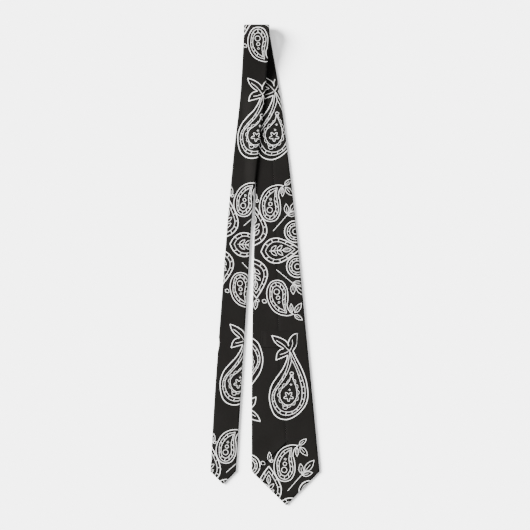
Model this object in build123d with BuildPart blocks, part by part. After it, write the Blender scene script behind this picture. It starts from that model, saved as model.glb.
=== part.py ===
from build123d import *
from math import atan2, cos, degrees, radians, sin, tan
import os

# Necktie, folded once at the neck and laid flat.
#
# The wide blade lies on the surface with its back up: centre seam, keeper loop and the
# V opening with the tipping in it. The narrow blade comes back over the fold, front up,
# and fans out to the left. Frame: +Z up from the surface, +Y towards the neck fold, +X to
# the right, origin under the middle of the whole outline. Millimetres.
#
# Depth in a blade is counted from its back, where the seam is: 0 at the back, THICK at
# the front. The wide leg lies back up, the fold has its back inside, and the narrow leg
# lies back down.

os.makedirs("parts", exist_ok=True)

# Build of a blade: envelope cloth round an interlining
THICK = 4.0             # pressed blade, front to back
CLOTH = 0.5             # envelope wall
EDGE_TURNING = 1.5      # cloth left inside each long edge
CORE = (1.1, 3.1)       # depths of the interlining
TIPPING = (0.65, 0.95)  # depths of the lining behind each tip
LAP = 0.3               # air between cloths that belong to different moving runs

# Neck fold
FOLD_Y = 356.5          # outermost line of the fold
FOLD_MID_X = -12.3
FOLD_HALF = 19.0
FOLD_INNER_R = 8.0
SLOPE = 10.0            # degrees that the narrow leg falls from the fold
ROLL_START = 45.0       # the fold's middle run, in degrees round the fold from the wide leg
ROLL_END = 140.0
PIN_OUT = 0.2           # each bend line lies this far outside the cloth
CUT = 0.15              # half the slit that parts two runs at a bend line

# Plan of each leg, from the fold to the shoulders: (along, middle, half width)
WIDE = [
    (344.5, FOLD_MID_X, FOLD_HALF),
    (244.0, 2.5, 21.0),
    (155.0, 10.5, 24.5),
    (22.0, 16.5, 33.0),
    (-82.0, 20.3, 39.0),
    (-200.0, 25.5, 45.3),
    (-306.0, 30.6, 50.4),
]
WIDE_TIP = (31.4, -356.5)
NARROW = [
    (344.5, FOLD_MID_X, FOLD_HALF),
    (254.0, -18.3, 18.3),
    (165.0, -28.0, 18.4),
    (84.0, -36.1, 17.8),
    (-42.0, -45.0, 18.6),
    (-200.0, -55.7, 19.4),
    (-306.0, -62.0, 19.0),
]
NARROW_TIP = (-62.1, -325.2)

# Where the legs bend, swing and step down
WIDE_BEND = (19.5, -60.0)
WIDE_BEND_LEAN = -0.0365
NARROW_BEND = (-46.4, -60.0)
NARROW_BEND_LEAN = -0.04
SWING = (-28.0, 165.0)
SWING_R = 20.0
STEP_TOP_Y = 90.0       # the narrow leg leaves the wide blade here
STEP_FOOT_Y = 10.0      # and reaches the surface here
ON_TOP = THICK + LAP    # its height where it lies on the wide blade

# Joins, seam and trim
JOIN_Y = 300.0          # diagonal join of the two envelope pieces
CORE_JOIN_Y = 270.0     # square join of the two interlinings
SLIT = 0.6              # the centre seam's two turned edges don't quite touch
THREAD = 0.3
STITCH = 6.0            # a slip stitch, and the run of thread hidden before the next
STITCH_EVERY = 20.0
HEM = 2.5               # envelope turned round the tip's edges
WIDE_V = (31.0, -264.0)
NARROW_V = (-60.6, -292.0)
LINING = 60.0           # a tipping reaches this far up from the shoulders
TACK = (6.0, 2.0)       # bar tack: across the seam, along it
TACK_HIGH = 0.5
TACK_THREADS = 8
KEEPER = (52.0, 24.0)
KEEPER_MID = (20.9, -110.0)
KEEPER_CLOTH = 0.8
KEEPER_GAP = 1.0
KEEPER_END = 3.0

fold_y = FOLD_Y - FOLD_INNER_R - THICK
fold_z = FOLD_INNER_R + THICK
pin_r = fold_z + PIN_OUT
cut_angle = degrees(CUT / fold_z)
slope_end = 180.0 + SLOPE
slope = radians(SLOPE)
mid_r = FOLD_INNER_R + THICK / 2
slope_drop = fold_z + mid_r * cos(slope) - ON_TOP - THICK / 2
settle_y = fold_y - mid_r * sin(slope) - slope_drop / tan(slope)
TIP_INSET = 1.4         # a square tip moves in by this much of its sides' inset
ABOVE = 30.0            # higher than the folded tie
REACH = 800.0           # wider than any run


def on_fold(angle, radius):
    """A point round the fold as (Y, Z); the wide leg is at 0 degrees."""
    turn = radians(angle)
    return (fold_y + radius * sin(turn), fold_z - radius * cos(turn))


def blade_plan(stations, tip, inset, height):
    """Plan outline of a leg from the fold to its tip, with its sides and tip inset."""
    left = [(mid - half + inset, along) for along, mid, half in stations]
    right = [(mid + half - inset, along) for along, mid, half in stations]
    with BuildSketch(Plane.XY.offset(height)) as plan:
        with BuildLine():
            Spline(*left)
            Polyline(left[-1], (tip[0], tip[1] + TIP_INSET * inset), right[-1])
            Spline(*right)
            Line(left[0], right[0])
        make_face()
    return plan.sketch


def fold_section(start, end, back, front):
    """Part of the fold's section, between two angles and two depths."""
    inner = FOLD_INNER_R + back
    outer = FOLD_INNER_R + front
    middle = (start + end) / 2
    with BuildSketch(Plane.YZ.offset(FOLD_MID_X)) as section:
        with BuildLine():
            ThreePointArc(on_fold(start, outer), on_fold(middle, outer), on_fold(end, outer))
            Line(on_fold(end, outer), on_fold(end, inner))
            ThreePointArc(on_fold(end, inner), on_fold(middle, inner), on_fold(start, inner))
            Line(on_fold(start, inner), on_fold(start, outer))
        make_face()
    return section.sketch


def fold_layer(start, end, back, front, inset=0.0):
    """One layer of the fold, as wide as the blade there."""
    with BuildPart() as layer:
        extrude(fold_section(start, end, back, front), amount=FOLD_HALF - inset, both=True)
    return layer.part


def wide_layer(back, front, inset=0.0):
    """One layer of the wide leg, tip to fold, with the first part of the fold."""
    rise = fold_layer(0, ROLL_START - cut_angle, back, front, inset)
    with BuildPart() as layer:
        extrude(blade_plan(WIDE, WIDE_TIP, inset, THICK - front), amount=front - back)
        add(rise)
    return layer.part


def settle_point(depth):
    """Where the sloping run meets the one that lies on the wide blade, as (Y, Z)."""
    return (settle_y - (depth - THICK / 2) * tan(slope / 2), ON_TOP + depth)


def narrow_back(along):
    """Height of the narrow leg's back face below the slope's top."""
    if along > settle_y:
        return ON_TOP + (along - settle_y) * tan(slope)
    step = (along - STEP_FOOT_Y) / (STEP_TOP_Y - STEP_FOOT_Y)
    return ON_TOP * min(max(step, 0), 1)


def narrow_layer(back, front, inset=0.0):
    """One layer of the narrow leg, from the fold's last part to the tip."""
    def heights(depth):
        below = [(y, narrow_back(y) + depth) for y in (STEP_TOP_Y, STEP_FOOT_Y, NARROW_TIP[1] - 1)]
        return [on_fold(slope_end, FOLD_INNER_R + depth), settle_point(depth), *below]

    last_part = fold_layer(ROLL_END + cut_angle, slope_end, back, front, inset)
    with BuildPart() as layer:
        with BuildSketch(Plane.YZ.offset(-REACH / 2)):
            with BuildLine():
                Polyline(*heights(back), *reversed(heights(front)), close=True)
            make_face()
        extrude(amount=REACH)
        extrude(blade_plan(NARROW, NARROW_TIP, inset, -1), amount=ABOVE, mode=Mode.INTERSECT)
        add(last_part)
    return layer.part


def across(point, lean):
    """An upright plane across a leg, facing the fold."""
    return Plane(origin=(*point, 0), x_dir=(1, -lean, 0), z_dir=(lean, 1, 0))


def between(layer, upper=None, lower=None):
    """The part of a layer below the plane upper and above the plane lower."""
    with BuildPart() as run:
        add(layer)
        if upper:
            split(bisect_by=upper, keep=Keep.BOTTOM)
        if lower:
            split(bisect_by=lower, keep=Keep.TOP)
    return run.part


def without(layer, *taken):
    with BuildPart() as left_over:
        add(layer)
        for waste in taken:
            add(waste, mode=Mode.SUBTRACT)
    return left_over.part


def seam_line(stations, foot):
    """The centre seam in plan, from the fold to just inside the V at its foot."""
    middles = [(mid, along) for along, mid, half in stations if along > foot[1] + HEM]
    with BuildLine() as seam:
        Spline(*middles, (foot[0], foot[1] - HEM))
    return seam.line


def seam_slit(line, low, high):
    """The gap between the seam's two turned edges."""
    with BuildPart() as slit:
        with BuildSketch(Plane.XY.offset(low)):
            with BuildLine():
                for side in (-SLIT / 2, SLIT / 2):
                    add(line.moved(Location((side, 0, 0))))
                for end in (line @ 0, line @ 1):
                    Line(end - (SLIT / 2, 0), end + (SLIT / 2, 0))
            make_face()
        extrude(amount=high - low)
    return slit.part


def tip_opening(stations, point, tip, low, high):
    """The V between the two back flaps, down to the tip's hems."""
    along, mid, half = stations[-1]
    with BuildPart() as opening:
        with BuildSketch(Plane.XY.offset(low)):
            with BuildLine():
                Polyline(
                    point,
                    (mid - half + 1.4 * HEM, along),
                    (tip[0], tip[1] + 1.4 * HEM),
                    (mid + half - 1.4 * HEM, along),
                    close=True,
                )
            make_face()
        extrude(amount=high - low)
    return opening.part


def thread_between(start, end):
    """One straight bit of thread."""
    reach = Vector(*end) - Vector(*start)
    with BuildPart(Plane(origin=start, z_dir=reach)) as thread:
        Cylinder(THREAD / 2, reach.length, align=(Align.CENTER, Align.CENTER, Align.MIN))
    return thread.part


def slip_stitches(line, top_y, foot_y, height):
    """Stitches in the centre seam between two places; height gives Z from Y."""
    with BuildPart() as stitches:
        along = top_y
        while along - STITCH > foot_y:
            ends = []
            for y in (along, along - STITCH):
                x = seam_x(line, y)
                ends.append((x, y, height(y)))
            add(thread_between(*ends))
            along -= STITCH_EVERY
    return stitches.part


def seam_x(line, along):
    """Where the seam is, at a distance along the tie."""
    low, high = 0.0, 1.0
    for _ in range(40):
        half = (low + high) / 2
        if (line @ half).Y > along:
            low = half
        else:
            high = half
    return (line @ low).X


def bar_tack(point, low):
    """A close row of threads over the end of the centre seam."""
    pitch = TACK[0] / TACK_THREADS
    with BuildPart() as tack:
        with Locations((point[0], point[1] + TACK[1], low)):
            with GridLocations(pitch, 1, TACK_THREADS, 1):
                Box(0.8 * pitch, TACK[1], TACK_HIGH, align=(Align.CENTER, Align.CENTER, Align.MIN))
    return tack.part


def hem_stitches(stations, tip, low):
    """The row that holds the tipping to the hem, along both edges of the tip."""
    along, mid, half = stations[-1]
    rows = []
    for side in (-1, 1):
        top = Vector(mid + side * (half - 1.2 * HEM), along + 0.3 * HEM)
        foot = Vector(tip[0], tip[1] + 1.2 * HEM)
        rows.append((top, foot))
    with BuildPart() as stitches:
        for top, foot in rows:
            count = int((foot - top).length / (2 * THREAD * 10))
            lean = degrees(atan2(foot.Y - top.Y, foot.X - top.X))
            for i in range(count):
                place = top + (foot - top) * ((i + 0.5) / count)
                with Locations(Location((place.X, place.Y, low), (0, 0, lean))):
                    Box(10 * THREAD, THREAD, 0.1, align=(Align.CENTER, Align.CENTER, Align.MIN))
    return stitches.part


def write(part, label):
    part.label = label
    export_step(part, f"parts/{label}.step")
    solids = part.solids()
    print(label, len(solids), round(sum(s.volume for s in solids), 1))


# Cutting planes between the moving runs
wide_cut = across(WIDE_BEND, WIDE_BEND_LEAN)
narrow_cut = across(NARROW_BEND, NARROW_BEND_LEAN)
settle_cut = Plane(
    origin=(0, *settle_point(THICK / 2)), x_dir=(1, 0, 0), z_dir=(0, cos(slope / 2), sin(slope / 2))
)
join_cut = Plane(origin=(-10, JOIN_Y, 0), x_dir=(1, -1, 0), z_dir=(1, 1, 0))
core_join = Plane(origin=(0, CORE_JOIN_Y, 0), x_dir=(1, 0, 0), z_dir=(0, 1, 0))

# Envelope of the wide leg: one bias-cut cloth whose long edges are turned to the middle of
# the back, where they meet in the seam.
LOW_BACK, HIGH_BACK = THICK - CLOTH - 0.1, THICK + 0.1
wide_seam = seam_line(WIDE, WIDE_V)
wide_skin = wide_layer(0, THICK)
wide_cuts = [
    wide_layer(CLOTH, THICK - CLOTH, EDGE_TURNING),
    seam_slit(wide_seam, LOW_BACK, HIGH_BACK),
    tip_opening(WIDE, WIDE_V, WIDE_TIP, LOW_BACK, HIGH_BACK),
]
wide_core = wide_layer(*CORE, EDGE_TURNING + 0.2)

with BuildPart() as wide_envelope_tip_half:
    add(without(between(wide_skin, wide_cut.offset(-CUT)), *wide_cuts))
write(wide_envelope_tip_half.part, "wide_envelope_tip_half")

with BuildPart() as wide_envelope_neck_half:
    add(without(between(wide_skin, join_cut, wide_cut.offset(CUT)), *wide_cuts))
write(wide_envelope_neck_half.part, "wide_envelope_neck_half")

# Interlining of the wide leg: a felted blank that gives the tie its body.
with BuildPart() as wide_interlining_tip_half:
    add(between(wide_core, wide_cut.offset(-CUT)))
write(wide_interlining_tip_half.part, "wide_interlining_tip_half")

with BuildPart() as wide_interlining_neck_half:
    add(between(wide_core, core_join, wide_cut.offset(CUT)))
write(wide_interlining_neck_half.part, "wide_interlining_neck_half")

# Lining behind the wide tip, seen through the V.
lining_top = Plane(origin=(0, WIDE[-1][0] + LINING, 0), x_dir=(1, 0, 0), z_dir=(0, 1, 0))
with BuildPart() as wide_tipping:
    add(between(wide_layer(*TIPPING, EDGE_TURNING + 0.2), lining_top))
write(wide_tipping.part, "wide_tipping")

with BuildPart() as wide_hem_stitches:
    add(hem_stitches(WIDE, WIDE_TIP, THICK - CLOTH - 0.12))
write(wide_hem_stitches.part, "wide_hem_stitches")

with BuildPart() as wide_bar_tack:
    add(bar_tack(WIDE_V, THICK))
write(wide_bar_tack.part, "wide_bar_tack")

# Keeper loop: a folded band of the tie's own cloth, sewn down at both ends.
with BuildPart() as keeper_loop:
    top_of_keeper = THICK + KEEPER_GAP + KEEPER_CLOTH
    with BuildSketch(Plane.XZ.offset(-KEEPER_MID[1] - KEEPER[1] / 2)):
        with Locations((KEEPER_MID[0], THICK)):
            Rectangle(KEEPER[0], KEEPER_GAP + KEEPER_CLOTH, align=(Align.CENTER, Align.MIN))
            Rectangle(
                KEEPER[0] - 2 * KEEPER_END,
                KEEPER_GAP,
                align=(Align.CENTER, Align.MIN),
                mode=Mode.SUBTRACT,
            )
    extrude(amount=KEEPER[1])
    ends = keeper_loop.edges().filter_by(Axis.Y).group_by(Axis.Z)[-1]
    fillet(ends, KEEPER_CLOTH)
write(keeper_loop.part, "keeper_loop")

with BuildPart() as keeper_end_stitches:
    with Locations((*KEEPER_MID, top_of_keeper)):
        with GridLocations(KEEPER[0] - KEEPER_END, KEEPER[1] / 6, 2, 5):
            Box(THREAD, KEEPER[1] / 12, 0.2, align=(Align.CENTER, Align.CENTER, Align.MIN))
write(keeper_end_stitches.part, "keeper_end_stitches")

# Slip stitch: one long thread that closes the centre seam between the two bar tacks.
def in_wide_back(along):
    return THICK - CLOTH / 2


def in_narrow_back(along):
    return narrow_back(along) + CLOTH / 2


with BuildPart() as slip_stitches_wide_tip_half:
    add(slip_stitches(wide_seam, WIDE_BEND[1] - 8, WIDE_V[1] + 8, in_wide_back))
write(slip_stitches_wide_tip_half.part, "slip_stitches_wide_tip_half")

with BuildPart() as slip_stitches_wide_neck_half:
    add(slip_stitches(wide_seam, fold_y - 8, WIDE_BEND[1] + 4, in_wide_back))
write(slip_stitches_wide_neck_half.part, "slip_stitches_wide_neck_half")

# Envelope of the narrow leg. It starts at the diagonal join on the wide leg, close below
# the fold, and goes round the fold.
with BuildPart() as narrow_envelope_join_run:
    add(without(between(wide_skin, None, join_cut), *wide_cuts))
write(narrow_envelope_join_run.part, "narrow_envelope_join_run")

with BuildPart() as narrow_interlining_join_run:
    add(between(wide_core, None, core_join.offset(CUT)))
write(narrow_interlining_join_run.part, "narrow_interlining_join_run")

with BuildPart() as envelope_join_stitches:
    for i in range(-4, 5):
        place = Vector(-10, JOIN_Y) + Vector(1, -1) * (i * 3.2)
        with Locations(Location((place.X, place.Y, CLOTH + 0.1), (0, 0, -45))):
            Box(10 * THREAD, THREAD, 0.2, align=(Align.CENTER, Align.CENTER, Align.MIN))
write(envelope_join_stitches.part, "envelope_join_stitches")

with BuildPart() as interlining_join_stitches:
    core_join_x = seam_x(wide_seam, CORE_JOIN_Y)
    for i in range(-5, 6):
        lean = 45 if i % 2 else -45
        place = (core_join_x + 2.8 * i, CORE_JOIN_Y, THICK - CORE[0] + 0.05)
        with Locations(Location(place, (0, 0, lean))):
            Box(3.0, THREAD, 0.2, align=(Align.CENTER, Align.CENTER, Align.MIN))
write(interlining_join_stitches.part, "interlining_join_stitches")

# The fold itself
roll = (ROLL_START + cut_angle, ROLL_END - cut_angle)
with BuildPart() as narrow_envelope_fold_run:
    add(fold_layer(*roll, 0, THICK))
    add(fold_layer(roll[0] - 5, roll[1] + 5, CLOTH, THICK - CLOTH, EDGE_TURNING), mode=Mode.SUBTRACT)
    add(fold_layer(roll[0] - 5, roll[1] + 5, -0.1, CLOTH + 0.1, FOLD_HALF - SLIT / 2), mode=Mode.SUBTRACT)
write(narrow_envelope_fold_run.part, "narrow_envelope_fold_run")

with BuildPart() as narrow_interlining_fold_run:
    add(fold_layer(*roll, *CORE, EDGE_TURNING + 0.2))
write(narrow_interlining_fold_run.part, "narrow_interlining_fold_run")

# The narrow leg below the fold: a slope, a run on the wide blade, then the swinging part
with BuildPart() as round_end:
    with BuildSketch(Plane.XY.offset(-1)):
        with Locations(SWING):
            Circle(SWING_R + LAP)
            Rectangle(REACH, REACH, align=(Align.CENTER, Align.MAX))
    extrude(amount=ABOVE)

with BuildPart() as outside_round_end:
    with BuildSketch(Plane.XY.offset(-1)):
        with Locations(SWING):
            Rectangle(REACH, REACH, align=(Align.CENTER, Align.MIN))
            Circle(SWING_R, mode=Mode.SUBTRACT)
    extrude(amount=ABOVE)

narrow_seam = seam_line(NARROW, NARROW_V)
narrow_back_wall = narrow_layer(-0.1, CLOTH + 0.1)
with BuildPart() as narrow_slit:
    add(seam_slit(narrow_seam, -1, ABOVE))
    add(narrow_back_wall, mode=Mode.INTERSECT)

with BuildPart() as tack_pocket:
    with Locations((NARROW_V[0], NARROW_V[1] + TACK[1], -1)):
        Box(TACK[0] + 1, TACK[1] + 1, 1 + CLOTH + 0.1, align=(Align.CENTER, Align.CENTER, Align.MIN))

narrow_skin = narrow_layer(0, THICK)
narrow_cuts = [
    narrow_layer(CLOTH, THICK - CLOTH, EDGE_TURNING),
    narrow_slit.part,
    tip_opening(NARROW, NARROW_V, NARROW_TIP, -0.1, CLOTH + 0.1),
    tack_pocket.part,
]
narrow_core = narrow_layer(*CORE, EDGE_TURNING + 0.2)

# Each run: its name, the plane above it, the plane below it and the solids taken from it
narrow_runs = [
    ("slope_run", None, settle_cut.offset(CUT), []),
    ("upper_run", settle_cut.offset(-CUT), None, [round_end.part]),
    ("middle_run", None, narrow_cut.offset(CUT), [outside_round_end.part]),
    ("tip_half", narrow_cut.offset(-CUT), None, []),
]
for name, upper, lower, waste in narrow_runs:
    with BuildPart() as envelope_run:
        add(without(between(narrow_skin, upper, lower), *narrow_cuts, *waste))
    write(envelope_run.part, f"narrow_envelope_{name}")

    with BuildPart() as interlining_run:
        add(without(between(narrow_core, upper, lower), *waste))
    write(interlining_run.part, f"narrow_interlining_{name}")

narrow_stitch_runs = [
    ("slope_run", fold_y - 12, settle_y + 6),
    ("upper_run", settle_y - 8, SWING[1] + SWING_R + 8),
    ("middle_run", STEP_TOP_Y - 6, NARROW_BEND[1] + 6),
    ("narrow_tip_half", NARROW_BEND[1] - 8, NARROW_V[1] + 10),
]
for name, top_y, foot_y in narrow_stitch_runs:
    with BuildPart() as stitch_run:
        add(slip_stitches(narrow_seam, top_y, foot_y, in_narrow_back))
    write(stitch_run.part, f"slip_stitches_{name}")

narrow_lining_top = Plane(origin=(0, NARROW[-1][0] + LINING / 2, 0), x_dir=(1, 0, 0), z_dir=(0, 1, 0))
with BuildPart() as narrow_tipping:
    add(between(narrow_layer(*TIPPING, EDGE_TURNING + 0.2), narrow_lining_top))
write(narrow_tipping.part, "narrow_tipping")

with BuildPart() as narrow_hem_stitches:
    add(hem_stitches(NARROW, NARROW_TIP, CLOTH + 0.02))
write(narrow_hem_stitches.part, "narrow_hem_stitches")

with BuildPart() as narrow_bar_tack:
    add(bar_tack(NARROW_V, 0.05))
write(narrow_bar_tack.part, "narrow_bar_tack")

# Bend lines, for the joints
print("fold lower pin", on_fold(ROLL_START, pin_r))
print("fold upper pin", on_fold(ROLL_END, pin_r))
print("settle pin", (settle_point(0)[0], ON_TOP - PIN_OUT))
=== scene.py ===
from math import ceil, cos, hypot, pi, radians, sin, tau

import bpy
import numpy as np
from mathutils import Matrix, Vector
from mathutils.geometry import delaunay_2d_cdt


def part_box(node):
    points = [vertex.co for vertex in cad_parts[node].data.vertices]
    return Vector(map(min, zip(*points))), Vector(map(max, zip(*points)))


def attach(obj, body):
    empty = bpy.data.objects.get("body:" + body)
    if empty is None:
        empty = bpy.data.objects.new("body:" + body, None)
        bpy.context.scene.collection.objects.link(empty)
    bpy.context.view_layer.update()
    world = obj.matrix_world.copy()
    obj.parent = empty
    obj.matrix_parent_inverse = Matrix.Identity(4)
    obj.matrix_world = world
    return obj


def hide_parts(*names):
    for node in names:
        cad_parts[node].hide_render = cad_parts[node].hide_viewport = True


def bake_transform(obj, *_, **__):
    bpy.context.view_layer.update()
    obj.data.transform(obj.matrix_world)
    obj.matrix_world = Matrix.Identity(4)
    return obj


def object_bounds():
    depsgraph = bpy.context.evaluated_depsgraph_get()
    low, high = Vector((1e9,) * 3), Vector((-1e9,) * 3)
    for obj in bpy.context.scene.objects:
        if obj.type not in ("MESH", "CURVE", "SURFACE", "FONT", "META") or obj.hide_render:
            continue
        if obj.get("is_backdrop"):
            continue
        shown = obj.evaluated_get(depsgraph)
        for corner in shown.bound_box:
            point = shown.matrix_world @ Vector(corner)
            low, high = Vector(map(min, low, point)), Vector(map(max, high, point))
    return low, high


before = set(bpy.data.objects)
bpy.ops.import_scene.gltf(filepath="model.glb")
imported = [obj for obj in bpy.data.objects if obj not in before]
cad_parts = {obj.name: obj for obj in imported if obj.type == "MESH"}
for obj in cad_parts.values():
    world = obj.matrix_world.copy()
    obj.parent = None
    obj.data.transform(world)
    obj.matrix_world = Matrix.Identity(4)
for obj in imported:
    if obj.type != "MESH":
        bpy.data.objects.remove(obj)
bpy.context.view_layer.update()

# ----------------------------------------------------------------------------------------
# Wide interlining
# A brushed wool and viscose felt, cut on the bias to the blade's outline. It lies loose
# between the blade's front and back and gives the tie its body. All plans are in mm.
# ----------------------------------------------------------------------------------------
MM = 0.001
THICK = 4.0                 # pressed blade, front to back
ROLL = 2.6                  # the long edges turn over within this of the outline
FOLD_MID_X = -12.3
FOLD_HALF = 19.0
WIDE_STATIONS = [           # (along, middle, half width), shoulders first
    (-306.0, 30.6, 50.4),
    (-200.0, 25.5, 45.3),
    (-82.0, 20.3, 39.0),
    (22.0, 16.5, 33.0),
    (155.0, 10.5, 24.5),
    (244.0, 2.5, 21.0),
    (344.5, FOLD_MID_X, FOLD_HALF),
]
WIDE_TIP = (31.4, -356.5)
JOIN_AT = (-10.0, 300.0)    # the two envelope pieces meet on a diagonal through here
CORE_JOIN_Y = 270.0
CORE_THICK = 2.0
CORE_INSET = 1.5
CUT_EDGE = 0.05             # a square cut end is closed within this
BEND_Y = -60.0              # both blades double up about here
BEND_REACH = 17.0


def through(at, where, values):
    """A smooth line through a few values, straight on beyond its ends."""
    at, where, values = (np.asarray(a, float) for a in (at, where, values))
    slopes = np.gradient(values, where)
    i = np.clip(np.searchsorted(where, at) - 1, 0, len(where) - 2)
    step = where[i + 1] - where[i]
    t = np.clip((at - where[i]) / step, 0, 1)
    rise = values[i + 1] - values[i]
    turn_in, turn_out = slopes[i] * step - rise, rise - slopes[i + 1] * step
    curve = values[i] + t * rise + t * (1 - t) * ((1 - t) * turn_in + t * turn_out)
    below = slopes[0] * np.minimum(at - where[0], 0)
    return curve + below + slopes[-1] * np.maximum(at - where[-1], 0)


def soft_step(value, start, end):
    """0 before start and 1 after end, with a gentle turn between."""
    t = np.clip((value - start) / (end - start), 0, 1)
    return t * t * (3 - 2 * t)


class Blade:
    """One leg in its own plan: (across, along), with straight edges to a pointed tip."""

    def __init__(self, stations, tip, middle_face, front_up):
        self.along, self.mid, self.half = (np.array(row) for row in zip(*stations))
        self.tip = tip
        self.middle_face = middle_face
        self.front = 1 if front_up else -1
        self.shoulder = stations[0][0]
        self.tight = None       # a stretch that needs rows closer together

    def side(self, along, which):
        """The long edge, -1 left or 1 right, as if the blade had no tip."""
        return through(along, self.along, self.mid) + which * through(along, self.along, self.half)

    def tip_edge(self, which):
        """A shoulder, and the unit normal of its tip edge, pointing into the blade."""
        x = float(self.side(self.shoulder, which))
        dx, dy = self.tip[0] - x, self.tip[1] - self.shoulder
        length = hypot(dx, dy)
        return x, (which * dy / length, -which * dx / length)

    def inward(self, across, along):
        """How far inside the outline a place lies."""
        reach = np.minimum(across - self.side(along, -1), self.side(along, 1) - across)
        for which in (-1, 1):
            x, normal = self.tip_edge(which)
            lean = (across - x) * normal[0] + (along - self.shoulder) * normal[1]
            reach = np.minimum(reach, lean)
        return reach

    def edge_at(self, along, which, inset):
        """Across position of the outline, moved in by inset; along may be in the tip."""
        side = self.side(along, which) - which * inset
        x, normal = self.tip_edge(which)
        tip = x + (inset - (along - self.shoulder) * normal[1]) / normal[0]
        return np.maximum(side, tip) if which < 0 else np.minimum(side, tip)

    def low_point(self, inset):
        """The tip, moved in by inset."""
        x, normal = self.tip_edge(1)
        far = (self.tip[0] - x) * normal[0] + (self.tip[1] - self.shoulder) * normal[1]
        return self.tip[1] + (inset - far) / normal[1]

    def rows(self, low, high, step, inset=0.0):
        """Places along the blade, with one at the shoulders, down to its tip if low is None."""
        low = self.low_point(inset) if low is None else low
        breaks = [self.shoulder, *(self.tight or ())]
        stops = [low, *(b for b in breaks if low < b < high), high]
        rows = []
        for a, b in zip(stops, stops[1:]):
            close = self.tight and a >= self.tight[0] and b <= self.tight[1]
            rows.append(np.linspace(a, b, max(1, ceil((b - a) / (1.2 if close else step))) + 1))
        return np.unique(np.concatenate(rows))

    def outline(self, low, high, step, inset=0.0, high_right=None):
        """The blade's outline between two places; the top may run on a slant."""
        left = self.rows(low, high, step, inset)[::-1]
        right = self.rows(low, high if high_right is None else high_right, step, inset)
        points = [(float(self.edge_at(a, -1, inset)), float(a)) for a in left]
        if low is None:
            points[-1] = (self.tip[0], float(left[-1]))
            right = right[1:]
        return points + [(float(self.edge_at(a, 1, inset)), float(a)) for a in right]

    def guides(self, low, high, step, insets, shares):
        """Lines along the blade: some at set distances inside its edges, some between them."""
        lines = []
        for inset in insets:
            rows = self.rows(low, high, step, inset)
            for which in (-1, 1):
                lines.append([(float(self.edge_at(a, which, inset)), float(a)) for a in rows])
        for share in shares:
            rows = self.rows(low, high, step, 3.0)
            left, right = self.edge_at(rows, -1, 0), self.edge_at(rows, 1, 0)
            lines.append(list(zip((left + share * (right - left)).tolist(), rows.tolist())))
        return lines

    def place(self, across, along, depth):
        """A point of the blade; depth is counted from its middle face towards its front."""
        nudge = 0.05
        side = self.middle_face(across + nudge, along) - self.middle_face(across - nudge, along)
        up = self.middle_face(across, along + nudge) - self.middle_face(across, along - nudge)
        normal = np.cross(side, up) * self.front
        normal /= np.linalg.norm(normal, axis=1)[:, None]
        return self.middle_face(across, along) + normal * np.asarray(depth)[:, None]


def wide_middle(across, along):
    """The wide leg lies flat, back up."""
    return np.stack([across, along, np.full_like(across, THICK / 2)], axis=1)


def rolled(reach, roll):
    """Share of the full half thickness, at a distance in from a rounded edge."""
    share = np.clip((np.asarray(reach) - 0.002) / roll, 0, 1)
    return np.sqrt(share * (2 - share))


def wound_ccw(loop):
    """The loop, anticlockwise."""
    area = sum(a[0] * b[1] - b[0] * a[1] for a, b in zip(loop, loop[1:] + loop[:1]))
    return loop if area > 0 else loop[::-1]


def covered(places, strokes):
    """1 for each place under a stroke, 0 for the rest."""
    order = np.argsort(places[:, 1])
    rows = places[order, 1]
    found = np.zeros(len(places), np.int32)
    for left, right in strokes:
        quads = np.stack([left[:-1], right[:-1], right[1:], left[1:]], axis=1)
        start = np.searchsorted(rows, quads[:, :, 1].min())
        end = np.searchsorted(rows, quads[:, :, 1].max())
        near = order[start:end]
        spot = places[near]
        low, high = quads[:, :, 0].min(), quads[:, :, 0].max()
        near = near[(spot[:, 0] > low) & (spot[:, 0] < high)]
        if not len(near):
            continue
        spot = places[near][:, None, :]
        for corners in ((0, 1, 2), (0, 2, 3)):
            a, b, c = (quads[None, :, i, :] for i in corners)
            turns = [(q[..., 0] - p[..., 0]) * (spot[..., 1] - p[..., 1])
                     - (q[..., 1] - p[..., 1]) * (spot[..., 0] - p[..., 0])
                     for p, q in ((a, b), (b, c), (c, a))]
            same = ((np.minimum.reduce(turns) >= 0) | (np.maximum.reduce(turns) <= 0)).any(axis=1)
            found[near[same]] = 1
    return found


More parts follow.
